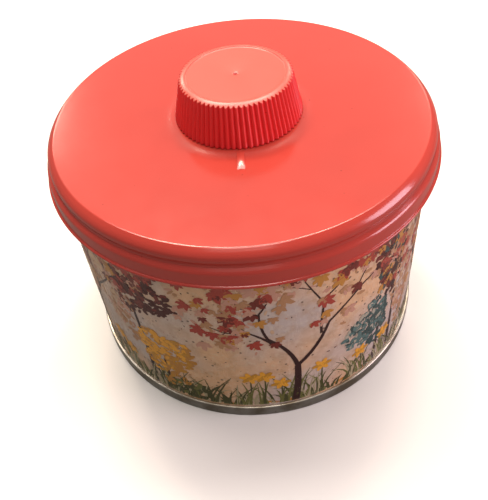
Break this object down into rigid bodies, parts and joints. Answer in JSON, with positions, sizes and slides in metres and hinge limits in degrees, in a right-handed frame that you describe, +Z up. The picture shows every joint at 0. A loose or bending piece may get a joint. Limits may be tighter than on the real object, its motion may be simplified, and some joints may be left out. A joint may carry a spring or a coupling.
{
  "type": "talcum powder tin",
  "caption": "Round seamed tinplate powder tin with a lift-off moulded lid, a perforated sifter in the lid's neck and a ribbed screw cap over it.",
  "frame": {"origin": "centre of the foot ring, on the surface that the tin stands on", "axes": "+Z up along the tin's axis; -Y towards the pointer mark on the lid; the folded side seam is at +Y"},
  "size_m": [0.1028, 0.1028, 0.0787],
  "materials": {
    "printed_tinplate": "lithographed ink under varnish on rolled tinplate",
    "bare_tinplate": "bright tinplate, lightly rubbed",
    "sealing_compound": "dried sealing compound",
    "talcum": "loose fine powder",
    "lid_plastic": "glossy injection-moulded polystyrene, lightly scuffed",
    "sifter_plastic": "natural polyethylene",
    "cap_plastic": "glossy injection-moulded plastic",
    "liner_board": "waxed pulp-board disc"
  },
  "bodies": {
    "tin": {"tin_wall": "printed_tinplate", "tin_base": "bare_tinplate", "seam_compound": "sealing_compound", "talcum_powder": "talcum"},
    "lid": {"lid": "lid_plastic", "sifter": "sifter_plastic"},
    "liner": {"cap_liner": "liner_board"},
    "cap": {"screw_cap": "cap_plastic"}
  },
  "joints": [
    {"name": "lid_lift", "type": "slide", "parent": "tin", "child": "lid", "axis": [0, 0, 1], "range_m": [0, 0.06]},
    {"name": "cap_rise", "type": "slide", "parent": "lid", "child": "liner", "axis": [0, 0, 1], "range_m": [0, 0.0125]},
    {"name": "cap_turn", "type": "hinge", "parent": "liner", "child": "cap", "pos_m": [0, 0, 0.0679], "axis": [0, 0, 1], "range_deg": [0, 1800]}
  ],
  "couplings": [
    {"joint": "cap_turn", "follows": "cap_rise", "rad_per_m": 2513.3}
  ]
}
